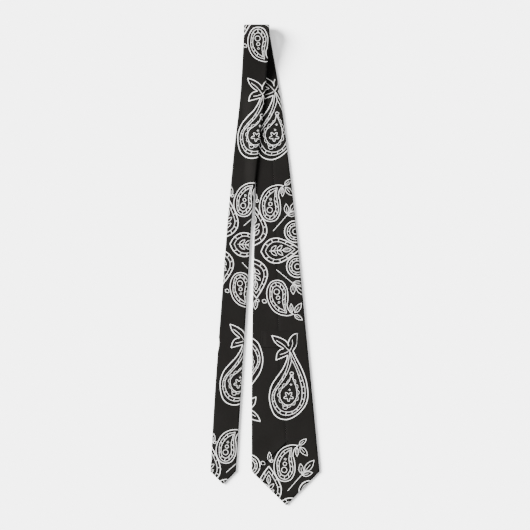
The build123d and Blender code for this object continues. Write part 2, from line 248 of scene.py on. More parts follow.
class Panel:
    """Cloth under the needle: plans are cut here, lifted into place and sewn to one mesh."""

    def __init__(self):
        self.points, self.normals, self.plans = [], [], []
        self.triangles, self.slots = [], []
        self.count = 0

    def add(self, outline, surface, lines=(), holes=(), strokes=(), outward_up=True):
        """Cuts outline less holes, with the print's strokes in it, and lifts it to surface."""
        low, high = np.min(outline, axis=0), np.max(outline, axis=0)
        strokes = [s for s in strokes if (s[0].max(axis=0) > low).all() and (s[0].min(axis=0) < high).all()]
        points, edges, loops = [], [], []
        for loop in (outline, *holes):
            first = len(points)
            points.extend(Vector(p) for p in wound_ccw(loop))
            loops.append(list(range(first, len(points))))
        for line in (*lines, *(np.concatenate([left, right[::-1], left[:1]]) for left, right in strokes)):
            first = len(points)
            points.extend(Vector(p) for p in line)
            edges.extend((i, i + 1) for i in range(first, len(points) - 1))
        plan, _, cut, _, _, within = delaunay_2d_cdt(points, edges, loops, 1, 1e-4)
        across, along = np.array([tuple(p) for p in plan]).T
        nudge = 0.03
        place = surface(across, along)
        side = surface(across + nudge, along) - surface(across - nudge, along)
        up = surface(across, along + nudge) - surface(across, along - nudge)
        normal = np.cross(side, up)
        normal /= np.linalg.norm(normal, axis=1)[:, None] + 1e-12
        if not outward_up:
            normal = -normal
        kept = np.array([c for c, inside in zip(cut, within) if list(inside) == [0]])
        plans = np.stack([across, along], axis=1)
        self.slots.append(covered(plans[kept].mean(axis=1), strokes))
        self.triangles.append((kept if outward_up else kept[:, ::-1]) + self.count)
        self.points.append(place)
        self.normals.append(normal)
        self.plans.append(plans)
        self.count += len(place)

    def piece(self, name, finishes, slot):
        """Sews the panels along their shared edges and makes the object."""
        points, normals = np.concatenate(self.points), np.concatenate(self.normals)
        plans, triangles = np.concatenate(self.plans), np.concatenate(self.triangles)
        used = np.unique(triangles)
        keys, first, joined = np.unique(
            np.round(points[used], 2), axis=0, return_index=True, return_inverse=True)
        joined = joined.reshape(-1)
        shared = np.zeros((len(keys), 3))
        np.add.at(shared, joined, normals[used])
        shared /= np.linalg.norm(shared, axis=1)[:, None] + 1e-12
        renumber = np.zeros(len(points), int)
        renumber[used] = joined
        corners = renumber[triangles]
        a, b, c = corners.T
        whole = (a != b) & (b != c) & (c != a)
        mesh = bpy.data.meshes.new(name)
        mesh.from_pydata((points[used][first] * MM).tolist(), [], corners[whole].tolist())
        mesh.polygons.foreach_set("material_index", np.concatenate(self.slots)[whole])
        uv = mesh.uv_layers.new(name="plan")
        uv.data.foreach_set("uv", (plans[triangles[whole].reshape(-1)] * MM).reshape(-1))
        mesh.polygons.foreach_set("use_smooth", np.ones(int(whole.sum()), bool))
        mesh.normals_split_custom_set_from_vertices(shared.tolist())
        for finish in finishes:
            mesh.materials.append(finish)
        piece = bpy.data.objects.new(name, mesh)
        bpy.context.scene.collection.objects.link(piece)
        return piece


class Socket:
    """A shader socket that takes part in Python arithmetic."""

    def __init__(self, tree, out):
        self.tree, self.out = tree, out

    def math(self, operation, *values):
        node = self.tree.nodes.new("ShaderNodeMath")
        node.operation = operation
        for entry, value in zip(node.inputs, values):
            if isinstance(value, Socket):
                self.tree.links.new(value.out, entry)
            else:
                entry.default_value = value
        return Socket(self.tree, node.outputs[0])

    def __add__(self, other):
        return self.math("ADD", self, other)

    def __radd__(self, other):
        return self.math("ADD", other, self)

    def __sub__(self, other):
        return self.math("SUBTRACT", self, other)

    def __rsub__(self, other):
        return self.math("SUBTRACT", other, self)

    def __mul__(self, other):
        return self.math("MULTIPLY", self, other)

    def __rmul__(self, other):
        return self.math("MULTIPLY", other, self)


class Finish:
    """A material under construction; node() makes any node that isn't plain maths."""

    def __init__(self, name, **constants):
        self.material = bpy.data.materials.new(name)
        self.material.use_nodes = True
        self.tree = self.material.node_tree
        self.shader = self.tree.nodes["Principled BSDF"]
        for socket, value in constants.items():
            self.shader.inputs[socket.replace("_", " ")].default_value = value

    def node(self, kind, settings=None, sockets=None, output=0):
        node = self.tree.nodes.new("ShaderNode" + kind)
        for name, value in (settings or {}).items():
            setattr(node, name, value)
        for name, value in (sockets or {}).items():
            if isinstance(value, Socket):
                self.tree.links.new(value.out, node.inputs[name])
            else:
                node.inputs[name].default_value = value
        return Socket(self.tree, node.outputs[output])

    def feed(self, name, value):
        """Links a varying value to the shader."""
        self.tree.links.new(value.out, self.shader.inputs[name])

    def plan(self):
        """The cloth's own plan: (across, along, vector), in metres."""
        vector = self.node("UVMap", {"uv_map": "plan"})
        parts = self.tree.nodes.new("ShaderNodeSeparateXYZ")
        self.tree.links.new(vector.out, parts.inputs[0])
        return Socket(self.tree, parts.outputs[0]), Socket(self.tree, parts.outputs[1]), vector

    def mix(self, share, low, high):
        """A colour between two, as a colour socket."""
        return self.node(
            "Mix", {"data_type": "RGBA"}, {0: share, 6: low, 7: high}, output=2)

    def relief(self, height, distance, strength=1.0):
        """Bumps the surface by height, 0 to 1, over distance in metres."""
        self.feed("Normal", self.node(
            "Bump", None, {"Height": height, "Distance": distance, "Strength": strength}))


def felt():
    """Brushed off-white felt: fibres that run every way, thicker and thinner in patches."""
    finish = Finish("brushed_felt", Roughness=0.95, Sheen_Weight=0.3, Sheen_Roughness=0.6)
    across, along, plan = finish.plan()
    fibres = finish.node("TexNoise", None, {"Vector": plan, "Scale": 2600.0, "Detail": 4.0})
    patches = finish.node("TexNoise", None, {"Vector": plan, "Scale": 60.0, "Detail": 2.0})
    finish.feed("Base Color", finish.mix(
        patches * 0.6 + fibres * 0.4, (0.46, 0.43, 0.37, 1), (0.72, 0.69, 0.62, 1)))
    finish.relief(fibres, 0.0002)
    return finish.material


FELT = felt()


def core_run(blade, name, low, high, surface_depth=CORE_THICK / 2, step=8.0):
    """One run of an interlining: a soft-edged slab about the blade's middle face."""
    panel = Panel()
    outline = blade.outline(low, high, step, CORE_INSET)
    insets = [CORE_INSET + 0.25, CORE_INSET + 0.7]
    lines = blade.guides(low, high, step, insets, (0.25, 0.5, 0.75))
    foot = blade.low_point(CORE_INSET) - 9 if low is None else low
    for end in (foot + CUT_EDGE, high - CUT_EDGE):
        if end > foot + CUT_EDGE or low is not None:
            lines.append([(blade.side(end, -1) + CORE_INSET, end), (blade.side(end, 1) - CORE_INSET, end)])
    for face in (-1, 1):
        def surface(across, along, face=face):
            reach = blade.inward(across, along) - CORE_INSET
            cut = np.minimum(1, np.minimum(along - foot, high - along) / CUT_EDGE)
            return blade.place(across, along, face * surface_depth * rolled(reach, 0.7) * cut)
        panel.add(outline, surface, lines, outward_up=(face == blade.front))
    return panel.piece(name, [FELT], "interlining")


def at(x, y, z):
    """A place in mm, in the frame's metres."""
    return (x * MM, y * MM, z * MM)


wide = Blade(WIDE_STATIONS, WIDE_TIP, wide_middle, front_up=False)
BENDS = {                   # where each blade doubles up, and how its bend line leans
    "wide": ((19.5, BEND_Y), -0.0365),
    "narrow": ((-46.4, BEND_Y), -0.04),
}


def doubles_up(piece, blade_name):
    """Bakes the piece's placement into its mesh; its bend line in BENDS is worked out but not used."""
    (x, y), lean = BENDS[blade_name]
    at(x + lean * BEND_REACH, y + BEND_REACH, THICK / 2)
    at(x - lean * BEND_REACH, y - BEND_REACH, THICK / 2)
    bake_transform(piece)


wide_core = core_run(wide, "wide_interlining", None, CORE_JOIN_Y)
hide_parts("wide_interlining_neck_half", "wide_interlining_tip_half")
doubles_up(wide_core, "wide")

# ----------------------------------------------------------------------------------------
# Wide envelope
# The outer cloth of the wide blade, black twill with a white line print, folded round the
# interlining so that its edges meet down the middle of the back and open in a V at the tip.
# ----------------------------------------------------------------------------------------
LINE = 1.15                  # the print's outlines, and its finer lines
FINE = 0.62
HAIR = 0.45
BEND_STEP = 1.5             # the print's curves are cut in steps of this
PRINT_REPEAT = (-21.5, 385.3)
BARE_ABOVE = 266.0          # no figure falls between here and the join
SEAM = [                    # (along, across) of the centre seam, V first
    (-264.0, 31.0), (-232.0, 30.2), (-149.0, 21.7), (-89.0, 19.8), (48.6, 17.0),
    (130.0, 12.8), (155.0, 11.3), (244.0, 2.5), (344.5, FOLD_MID_X)]
STITCH_EVERY = 20.0
HEM = 3.0                   # cloth turned round the tip's edges
WIDE_V = (31.0, -264.0)
FLAP_FALL = 1.0             # from a flap down to the lining
EDGE_LINES = [ROLL * (1 - cos(radians(turn))) for turn in (15, 30, 45, 60, 75, 90)]


def curve(points, closed=False):
    """An even line through a few points."""
    points = [np.array(p, float) for p in points]
    if closed:
        ring = [points[-1], *points, points[0], points[1]]
    else:
        ring = [2 * points[0] - points[1], *points, 2 * points[-1] - points[-2]]
    line = []
    for a, b, c, d in zip(ring, ring[1:], ring[2:], ring[3:]):
        steps = max(1, ceil(np.linalg.norm(c - b) / BEND_STEP))
        for t in np.arange(steps) / steps:
            line.append(0.5 * (2 * b + (c - a) * t + (2 * a - 5 * b + 4 * c - d) * t * t
                               + (3 * b - a - 3 * c + d) * t ** 3))
    line.append(line[0] if closed else points[-1])
    return line


def ring(x, y, radius):
    """A circle, as a line."""
    turns = max(10, ceil(tau * radius / 1.2))
    return [np.array((x + radius * cos(tau * i / turns), y + radius * sin(tau * i / turns)))
            for i in range(turns + 1)]


def shrunk(points, about, across, along):
    """Points drawn in towards a place, by a share across and a share along."""
    return [(about[0] + (x - about[0]) * across, about[1] + (y - about[1]) * along)
            for x, y in points]


def rungs(first, second, count, skip=0.08):
    """Short bars between two lines that run side by side."""
    bars = []
    for i in range(count):
        share = skip + (1 - 2 * skip) * (i + 0.5) / count
        a = first[int(share * (len(first) - 1))]
        b = second[int(share * (len(second) - 1))]
        bars.append(([a, b], FINE))
    return bars


def leaf(base, tip, plump, rib=0.6):
    """A pointed leaf with its midrib."""
    base, tip = np.array(base, float), np.array(tip, float)
    axis = tip - base
    out = np.array((-axis[1], axis[0])) * plump
    sides = [curve([base, base + 0.3 * axis + way * out, base + 0.68 * axis + way * 0.85 * out, tip])
             for way in (-1, 1)]
    lines = [(side, FINE) for side in sides]
    if rib:
        lines.append(([base, base + rib * axis], HAIR))
    return lines


def almond():
    """A pointed oval with a barred border and a sprig in it."""
    half = [(0, 31), (8, 20), (14.5, 9), (18.4, -2), (17, -12.5), (10, -21.5), (0, -27)]
    lines = []
    for way in (-1, 1):
        outer = curve([(way * x, y) for x, y in half])
        inner = curve([(way * x, y) for x, y in shrunk(half, (0, 0), 0.72, 0.76)])
        lines += [(outer, LINE), (inner, FINE), *rungs(outer, inner, 5)]
    lines.append(([(0, -15), (0, 6)], HAIR))
    lines += leaf((0, 5), (0, 18), 0.2)
    for y in (-12, -3):
        for way in (-1, 1):
            lines += leaf((0, y), (way * 7.5, y + 8), 0.2, 0)
    return lines


def paisley():
    """A small paisley: two bands, three rings in a row, and leaves on its tail."""
    outer = [(21, 36), (11, 37), (-1, 33), (-10, 24), (-15, 9), (-14, -4), (-8, -14), (1, -17),
             (10, -14), (15, -5), (16, 3), (15, 14), (13, 21), (14, 28), (17, 33), (20, 35)]
    band = [(11, 33), (-1, 28), (-10, 14), (-10, 0), (-7, -10), (1, -14), (8, -10), (13, 0),
            (11, 14), (10, 24), (11, 33)]
    core = [(9, 30), (-1, 22), (-7, 11), (-7, 0), (-4, -7), (2, -9), (6, -5), (9, 2),
            (7, 15), (8, 24), (9, 30)]
    outer, band, core = curve(outer), curve(band), curve(core)
    lines = [(outer, LINE * 0.8), (band, FINE), (core, FINE), *rungs(band, core, 12)]
    lines += [(ring(0, 0, 4), FINE), (ring(1, 9, 2.6), FINE), (ring(1.5, 16, 1.4), HAIR)]
    lines += leaf((19, 33), (19, 20), 0.17)
    lines += leaf((22, 37), (33, 46), 0.2)
    lines += leaf((23, 34), (34.5, 21), 0.2)
    return lines


def pear():
    """A large paisley: three outlines, a scalloped drop with a flower, and three leaves."""
    outer = curve([
        (-0.4, 61.8), (-2.2, 53.6), (-8.1, 40.9), (-17.2, 28.2), (-24, 17.3), (-27.2, 5.4), (-27.3, -5.4),
        (-24.4, -17.3), (-19.9, -26.3), (-12.6, -31.8), (-3.5, -33.6), (4.6, -31.8), (13.7, -26.3),
        (21.9, -18.2), (27.3, -9.1), (29.6, 1.8), (28.7, 14.5), (26, 27.2), (20.1, 42.7), (12.8, 56.3),
        (7.4, 68.1)])
    second = curve([
        (2.6, 66), (1, 54.5), (-1.7, 42.7), (-8.1, 29.1), (-17.2, 15.4), (-22.6, 5.4), (-23.1, -6.4),
        (-19.4, -16.3), (-12.6, -24.1), (-3.5, -27.2), (6.4, -25.4), (15.5, -19.5), (21.9, -10.9),
        (25.1, 0), (25.1, 12.7), (21.9, 25.4), (16.4, 39.1), (9.2, 55.4), (4.6, 64.5)])
    third = curve([
        (5.5, 54.5), (4.6, 50.9), (1, 40), (-4.5, 29.1), (-12.6, 17.3), (-18.5, 8.2), (-20.3, -0.9),
        (-17.6, -10.9), (-11.7, -19.1), (-3.5, -22.3), (4.6, -21.8), (11.9, -18.2), (17.3, -10.9),
        (20.5, -0.9), (20.5, 12.7), (17.3, 26.3), (12.8, 40), (8.3, 50), (5.5, 54.5)])
    lines = [(outer, LINE), (second, FINE), (third, FINE), *rungs(second, third, 17, 0.12)]
    lines.append(([(3, 66), (4.4, 60), (5.5, 54.5)], FINE))
    drop = curve([
        (4.6, 30.9), (1.9, 23.6), (-3.5, 17.3), (-9.9, 10.9), (-12.2, 3.6), (-10.8, -3.6), (-6.3, -10),
        (0.1, -12.3), (6.4, -10), (11.4, -3.6), (13.3, 3.6), (12.8, 10.9), (10.5, 19.1), (7.4, 26.3)],
        closed=True)
    lines.append((drop, FINE))
    middle, beads = np.array((0, 6)), 14
    scallops = []
    for i in range(len(drop) * 2):
        place = drop[(i // 2) % len(drop)]
        away = place - middle
        bulge = 0.4 + 2.9 * abs(sin(pi * beads * i / (2 * len(drop))))
        scallops.append(place + away / np.linalg.norm(away) * bulge)
    lines.append((scallops + scallops[:1], HAIR))
    turns = 40
    petals = []
    for i in range(turns + 1):
        reach = 5.3 + 2.1 * cos(5 * tau * i / turns)
        turned = tau * i / turns - pi / 2
        petals.append(np.array((1 + cos(turned) * reach, 0.5 + sin(turned) * reach)))
    lines += [(petals, FINE), (ring(5.5, 34.5, 2.5), FINE), (ring(-4, -15, 3.4), HAIR)]
    for x, y in ((4.5, 18.2), (2.4, 10.4)):
        lines += [([(x - 1.8, y), (x + 1.8, y)], HAIR), ([(x, y - 1.8), (x, y + 1.8)], HAIR)]
    for edge in (
        [(-24, 90.8), (-14.4, 88.6), (-5.4, 84.5), (-0.4, 79.9), (1, 75.4)],
        [(-24, 90.8), (-20.8, 83.6), (-15.3, 77.2), (-6.3, 71.8)],
        [(13.7, 94.5), (7.4, 91.7), (2.8, 86.3), (0.5, 79.9), (1, 75.4)],
        [(13.7, 94.5), (13.3, 83.6), (12.4, 76.3), (7.4, 68.1)],
        [(-6.3, 71.8), (-12.6, 69), (-16.3, 63.6), (-17.6, 54.5)],
        [(-17.6, 54.5), (-9, 58.1), (-0.4, 61.8)],
    ):
        lines.append((curve(edge), LINE * 0.85))
    for rib in (
        [(-17.2, 83.6), (-8.1, 78.1), (0.1, 69.9), (4.6, 64.5)],
        [(6.4, 84.5), (6.9, 78.1), (4.6, 71.8), (1.9, 68.1)],
        [(-11.7, 62.7), (-5.4, 64.5), (0.1, 67.2)],
    ):
        lines.append((curve(rib), FINE))
    return lines


def sprig():
    """A long bare stem with a leaf at its end and one on each side."""
    lines = [([(-12, -14), (13, 14.5)], FINE)]
    lines += leaf((13, 14.5), (27, 31.5), 0.2)
    lines += leaf((8.7, 11.6), (7, 26.3), 0.22)
    lines += leaf((9.8, 9), (25, 13.2), 0.2)
    return lines


def target():
    """Rings inside rings, with bars between two of them."""
    lines = [(ring(0, 0, 16), LINE), (ring(0, 0, 8.6), FINE), (ring(0, 0, 3.9), FINE)]
    outer, inner = ring(0, 0, 12), ring(0, 0, 8.6)
    return lines + [(outer, FINE), *rungs(outer, inner, 9, 0)]


def twig():
    """A leaf by itself, with a bud at its foot."""
    return leaf((0, 0), (-0.5, 14), 0.2) + leaf((1, -1), (5, 2.5), 0.32, 0)


def bud():
    """A small closed bud."""
    return leaf((-3.2, 1.8), (3.2, -1.8), 0.34, 0)


PRINT = [                   # (figure, across, along, turned by, upside down), on the wide blade
    (pear(), 34.0, -195.5, 0, False),
    (pear(), -31.0, -141.0, 180, False),
    (paisley(), 7.0, 81.5, 0, False),
    (paisley(), 17.3, -39.7, 6.8, True),
    (sprig(), 24.1, 64.5, 0, False),
    (sprig(), 30.8, -18.7, 9, True),
    (target(), 45.0, 49.6, 0, False),
    (target(), 48.0, -2.3, 0, False),
    (target(), -45.0, 88.0, 0, False),
    (almond(), 21.0, 21.6, -86, False),
    (almond(), -15.9, 56.0, 0, False),
    (almond(), -14.6, -18.2, 4, True),
    (twig(), -14.5, 94.0, 0, False),
    (twig(), -13.8, -52.0, 0, True),
    (bud(), -24.5, 91.5, 0, False),
    (bud(), -0.8, -53.8, 0, False),
]


def inked(low, high, fit=None, size=1.0):
    """The print between two places along a blade, as strokes with a left and a right side."""
    strokes = []
    for repeat in (-1, 0, 1, 2):
        for figure, x, y, turn, flip in PRINT:
            c, s = cos(radians(turn)), sin(radians(turn))
            origin = np.array((x, y)) + repeat * np.array(PRINT_REPEAT)
            for line, width in figure:
                places = np.array(line, float) * (1, -1 if flip else 1)
                places = places @ np.array(((c, s), (-s, c))) + origin
                if fit:
                    places = fit(places)
                if places[:, 1].max() < low - LINE or places[:, 1].min() > high + LINE:
                    continue
                ways = np.gradient(places, axis=0)
                ways /= np.linalg.norm(ways, axis=1)[:, None] + 1e-9
                out = np.stack([-ways[:, 1], ways[:, 0]], axis=1) * width * size / 2
                strokes.append((places + out, places - out))
    return strokes


def printed_twill():
    """The black ground: a fine diagonal weave with a soft nap, a little worn in patches."""
    finish = Finish("printed_twill", Specular_IOR_Level=0.03)
    across, along, plan = finish.plan()
    rib = finish.node("Math", {"operation": "SINE"}, {0: (across + along) * (tau / 0.0009)})
    pick = finish.node("Math", {"operation": "SINE"}, {0: (across - along) * (tau / 0.0006)})
    slub = finish.node("TexNoise", None, {"Vector": plan, "Scale": 900.0, "Detail": 3.0})
    fade = finish.node("TexNoise", None, {"Vector": plan, "Scale": 28.0, "Detail": 3.0})
    weave = rib * 0.3 + pick * 0.1 + slub * 0.6
    finish.feed("Base Color", finish.mix(
        fade * 0.7 + slub * 0.5 - 0.1, (0.0027, 0.0025, 0.0022, 1), (0.0048, 0.0044, 0.0040, 1)))
    finish.feed("Roughness", 0.86 - fade * 0.12)
    finish.relief(weave, 0.00012)
    return finish.material


def white_ink():
    """The print: a matte pigment on top of the same weave."""
    finish = Finish("white_pigment", Base_Color=(0.46, 0.455, 0.445, 1), Specular_IOR_Level=0.2)
    across, along, plan = finish.plan()
    rib = finish.node("Math", {"operation": "SINE"}, {0: (across + along) * (tau / 0.0009)})
    crust = finish.node("TexNoise", None, {"Vector": plan, "Scale": 1500.0, "Detail": 2.0})
    finish.feed("Roughness", 0.62 + crust * 0.25)
    finish.relief(rib * 0.25 + crust * 0.75, 0.00008)
    return finish.material


CLOTH = [printed_twill(), white_ink()]


def seam_across(along):
    """Across position of the wide blade's centre seam."""
    return through(along, *zip(*SEAM))


def seam_dip(off_seam, along):
    """How far the cloth dips at a centre seam, with a pucker at each stitch."""
    pucker = 0.07 * np.exp(-(off_seam / 5) ** 2) * (1 + np.cos(tau * along / STITCH_EVERY))
    soft = 0.24 * np.exp(-(off_seam / 2.2) ** 2)
    crease = 0.22 * np.exp(-(off_seam / 0.42) ** 2)
    return pucker + soft + crease


def give(across, along):
    """Faint swells of cloth over felt."""
    return (0.11 * np.sin(along / 17 + across / 23) + 0.09 * np.sin(along / 31 - across / 9 + 1.3)
            + 0.06 * np.sin(along / 8.3 + across / 14 + 0.4))


def off_line(across, along, start, end):
    """Signed distance from the line between two points, positive on its left."""
    dx, dy = end[0] - start[0], end[1] - start[1]
    return (dx * (along - start[1]) - dy * (across - start[0])) / hypot(dx, dy)


def face_depth(blade, across, along, plump=1.0):
    """Half the blade's thickness at a place: none at its edges, fullest in its middle."""
    reach = blade.inward(across, along)
    body = THICK / 2 - 0.22 * np.exp(-np.clip(reach, 0, None) / 9)
    return rolled(reach, ROLL) * (body + plump * give(across, along) * soft_step(reach, 1, 9))


def opening(blade, point, inset=0.0):
    """The V between the two back flaps, closed along the tip's hems."""
    hem = HEM - inset
    low = float(blade.low_point(hem))
    left = float(blade.edge_at(blade.shoulder, -1, hem * 1.35))
    right = float(blade.edge_at(blade.shoulder, 1, hem * 1.35))
    return [(point[0], point[1] + 1.5 * inset), (left, blade.shoulder + inset * 0.6),
            (blade.tip[0], low), (right, blade.shoulder + inset * 0.6)]


def past_flaps(blade, point, across, along):
    """Distance from each of the V's two edges, on the flaps' side."""
    corner = opening(blade, point)
    left = off_line(across, along, corner[0], corner[1])
    right = -off_line(across, along, corner[0], corner[3])
    return -left, -right


def open_back(blade, point, across, along, lifts, dip):
    """Half thickness on the back: the seam's dip, the flaps' edges, raised by lifts, and the hems."""
    left, right = past_flaps(blade, point, across, along)
    beside = np.clip(np.maximum(left, right), 0, None)
    in_tip = soft_step(along, blade.shoulder + 12, blade.shoulder - 2)
    near_v = soft_step(along, point[1] + 26, point[1]) * (1 - in_tip)
    lift = np.where(left > right, lifts[0], lifts[1]) * np.exp(-beside / 7) * near_v
    fall = (FLAP_FALL + lift) * (1 - rolled(beside, 1.1)) * (along < point[1] + 3) * (1 - in_tip)
    off_rim = rolled(blade.inward(across, along), ROLL)
    return face_depth(blade, across, along) - (dip + fall - lift + 0.35 * in_tip) * off_rim


SLIT_HALF = 0.012           # half the gap between the two turned edges


def slit(seam, low, high):
    """The line where the two turned edges meet, as a hole too fine to see through."""
    rows = np.arange(low, high, 4.0)
    return [(float(seam(a)) + SLIT_HALF, float(a)) for a in rows] + [
        (float(seam(a)) - SLIT_HALF, float(a)) for a in rows[::-1]]


def wide_back(across, along):
    dip = seam_dip(across - seam_across(along), along) * (along > WIDE_V[1] - 4)
    depth = open_back(wide, WIDE_V, across, along, (1.0, 0.25), dip)
    return wide.place(across, along, -depth)


def wide_front(across, along):
    return wide.place(across, along, face_depth(wide, across, along, 0.3))


def slanted_top(blade, which):
    """Where the diagonal join meets a long edge."""
    along = JOIN_AT[1]
    for _ in range(8):
        along = JOIN_AT[1] - (float(blade.side(along, which)) - JOIN_AT[0])
    return along


wide_ink = [stroke for stroke in inked(WIDE_TIP[1], JOIN_AT[1] + 20) if stroke[0][:, 1].min() < BARE_ABOVE]
join_left, join_right = slanted_top(wide, -1), slanted_top(wide, 1)
wide_outline = wide.outline(None, join_left, 4.0, high_right=join_right)
wide_lines = wide.guides(None, join_left, 4.0, EDGE_LINES, np.arange(1, 12) / 12)
seam_rows = np.arange(WIDE_V[1] - 2, join_left, 2.5)
seam_lines = [
    [(float(seam_across(a)) + off, float(a)) for a in seam_rows]
    for off in (-4.5, -2.6, -1.5, -0.8, -0.4, 0.4, 0.8, 1.5, 2.6, 4.5)
]
flap_lines = [
    [(x * (1 - share) + x2 * share - off * way, y * (1 - share) + y2 * share + off * 0.6)
     for share in np.linspace(0, 1, 24)]
    for (x, y), (x2, y2), way in (
        (opening(wide, WIDE_V)[0], opening(wide, WIDE_V)[1], 1),
        (opening(wide, WIDE_V)[0], opening(wide, WIDE_V)[3], -1))
    for off in (0.15, 0.45, 0.9, 1.4)
]
wide_panel = Panel()
wide_panel.add(wide_outline, wide_back, wide_lines + seam_lines + flap_lines,
               [opening(wide, WIDE_V), slit(seam_across, WIDE_V[1] + 2, join_left - 2)],
               wide_ink, outward_up=True)
wide_panel.add(wide_outline, wide_front, wide_lines, (), wide_ink, outward_up=False)
wide_cloth = wide_panel.piece("wide_envelope", CLOTH, "printed_cloth")
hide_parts("wide_envelope_neck_half", "wide_envelope_tip_half")
doubles_up(wide_cloth, "wide")

# ----------------------------------------------------------------------------------------
# Wide lining and its hem
# A panel of the same printed cloth closes the back of the tip, under the two flaps. The
# envelope's hem laps over its lower edges and is caught down with small slanting stitches.
# ----------------------------------------------------------------------------------------
TUCK = 2.2                  # the lining runs on under the flaps and the hem
LINING_DEPTH = 1.28         # from the middle face to the lining
THREAD_R = 0.16


def lining(blade, point, name, strokes):
    """The panel behind a tip, a little slack between its edges."""
    corners = opening(blade, point, TUCK)
    low, left, right = corners[2][1], corners[1][0], corners[3][0]

    def surface(across, along):
        slack = 0.08 * np.sin(across / 6.5 + along / 11) + 0.06 * np.sin(along / 5.2 - across / 13)
        return blade.place(across, along, -(LINING_DEPTH + slack))

    lines = [[(left + (right - left) * s, low), (left + (right - left) * s, corners[0][1])]
             for s in np.arange(1, 16) / 16]
    lines = [[(x, low + (corners[0][1] - low) * r) for r in np.arange(0, 21) / 20] for (x, _), _ in lines]
    panel = Panel()
    panel.add(corners, surface, lines, (), strokes, outward_up=(blade.front < 0))
    return panel.piece(name, CLOTH, "printed_cloth")


def thread_finish():
    """Black twisted sewing thread."""
    finish = Finish("black_thread", Specular_IOR_Level=0.1)
    around, length, plan = finish.plan()
    ply = finish.node("Math", {"operation": "SINE"}, {0: (around + length * 0.7) * (tau / 0.0005)})
    fuzz = finish.node("TexNoise", None, {"Vector": plan, "Scale": 3000.0, "Detail": 2.0})
    finish.feed("Base Color", finish.mix(fuzz, (0.0016, 0.0016, 0.0015, 1), (0.0040, 0.0038, 0.0036, 1)))
    finish.feed("Roughness", 0.7 + fuzz * 0.2)
    finish.relief(ply, 0.00005)
    return finish.material


THREAD = thread_finish()


def sewn(name, lengths):
    """Short lengths of thread, as one mesh of fine closed tubes."""
    points, faces, plans = [], [], []
    around = 6
    for length in lengths:
        line = np.array(length, float)
        ways = np.gradient(line, axis=0)
        ways /= np.linalg.norm(ways, axis=1)[:, None]
        aside = np.cross(ways, (0.13, 0.21, 0.97))
        aside /= np.linalg.norm(aside, axis=1)[:, None]
        up = np.cross(ways, aside)
        first = len(points)
        for i, place in enumerate(line):
            for k in range(around):
                turn = tau * k / around
                points.append(place + THREAD_R * (cos(turn) * aside[i] + sin(turn) * up[i]))
                plans.append((THREAD_R * turn, 0.5 * i))
        for i in range(len(line) - 1):
            for k in range(around):
                a, b = first + i * around + k, first + i * around + (k + 1) % around
                faces.append((a, b, b + around, a + around))
        faces.append(tuple(first + k for k in range(around))[::-1])
        faces.append(tuple(first + (len(line) - 1) * around + k for k in range(around)))
    mesh = bpy.data.meshes.new(name)
    mesh.from_pydata((np.array(points) * MM).tolist(), [], faces)
    uv = mesh.uv_layers.new(name="plan")
    corners = np.empty(len(mesh.loops), np.int32)
    mesh.loops.foreach_get("vertex_index", corners)
    uv.data.foreach_set("uv", (np.array(plans)[corners] * MM).reshape(-1))
    mesh.polygons.foreach_set("use_smooth", np.ones(len(faces), bool))
    mesh.materials.append(THREAD)
    piece = bpy.data.objects.new(name, mesh)
    bpy.context.scene.collection.objects.link(piece)
    return piece


def along_surface(surface, places, proud):
    """A thread laid on a back surface through places, standing proud at its middle."""
    across, along = np.array(curve(places)).T
    line = surface(across, along)
    arch = proud * np.sin(np.linspace(0, pi, len(line)))
    return line + np.stack([0 * arch, 0 * arch, arch], axis=1)


def hem_threads(blade, point, surface, proud):
    """Slanting stitches from the hem into the lining, along both tip edges."""
    corner = opening(blade, point)
    threads = []
    for end in (corner[1], corner[3]):
        low = np.array(corner[2])
        reach = np.array(end) - low
        count = int(np.linalg.norm(reach) / 6.5)
        inward = np.array((0, 1))
        for i in range(1, count):
            place = low + reach * (i / count)
            stitch = [place - 0.9 * inward, place + (0.4, 0.3), place + 1.3 * inward]
            threads.append(along_surface(surface, stitch, proud))
    return threads


wide_lining = lining(wide, WIDE_V, "wide_tip_lining", wide_ink)
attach(wide_lining, "wide_tip")
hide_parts("wide_tipping")


def on_hem(across, along):
    return wide.place(across, along, np.full_like(across, -(LINING_DEPTH + 0.18)))


wide_hem = sewn("wide_hem_thread", hem_threads(wide, WIDE_V, on_hem, 0.25))
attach(wide_hem, "wide_tip")
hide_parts("wide_hem_stitches")

# ----------------------------------------------------------------------------------------
# Keeper loop
# A flat strip of the printed cloth, folded double, lies across the seam and is caught down
# at its two ends. The narrow blade is tucked through it when the tie is worn.
# ----------------------------------------------------------------------------------------
KEEPER_LOW, KEEPER_HIGH = (Vector(corner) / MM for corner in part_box("keeper_loop"))
KEEPER_END = 3.0
keeper_mid = (KEEPER_LOW + KEEPER_HIGH) / 2
keeper_half = (KEEPER_HIGH - KEEPER_LOW) / 2


def keeper_face(way):
    """The strip's outer or inner face."""
    def surface(across, along):
        u = (across - keeper_mid.x) / keeper_half.x
        v = (along - keeper_mid.y) / keeper_half.y
        reach = np.minimum((1 - abs(u)) * keeper_half.x, (1 - abs(v)) * keeper_half.y)
        bow = soft_step(1 - abs(u), 0.03, 0.30)
        height = THICK + 0.50 + 0.62 * bow + 0.07 * np.sin(across / 4.5) * bow + 0.05 * np.sin(along / 3.1)
        return np.stack([across, along, height + way * 0.42 * rolled(reach, 0.6)], axis=1)
    return surface


